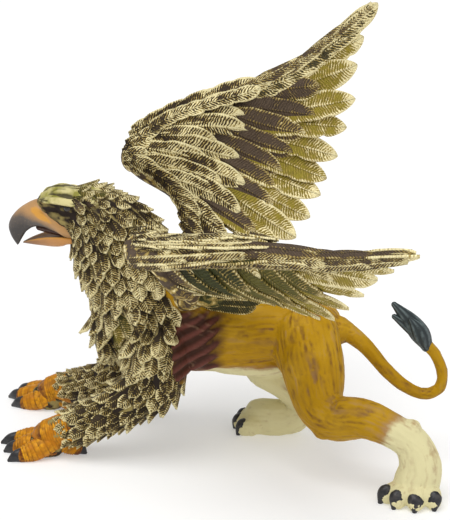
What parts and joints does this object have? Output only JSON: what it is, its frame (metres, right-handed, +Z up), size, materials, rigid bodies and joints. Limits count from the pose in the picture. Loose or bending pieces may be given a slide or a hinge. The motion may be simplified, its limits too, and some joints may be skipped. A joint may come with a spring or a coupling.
{
  "type": "griffin figurine",
  "caption": "Striding griffin figurine with hooked beak, feathered neck and forelegs, lion hindquarters, tufted tail, one wing raised and the other spread low.",
  "frame": {"origin": "centre of the bounding box on the ground under the feet", "axes": "+Z up, the griffin faces -X, its left side is at -Y"},
  "size_m": [0.1626, 0.1497, 0.1494],
  "materials": {
    "painted_hide": "hand-painted ochre hide with satin lacquer",
    "painted_feathers": "dark brown feathers dry-brushed with gold paint"
  },
  "bodies": {
    "root": {"body": "painted_hide", "wing_left": "painted_feathers", "wing_right": "painted_feathers"}
  },
  "joints": []
}
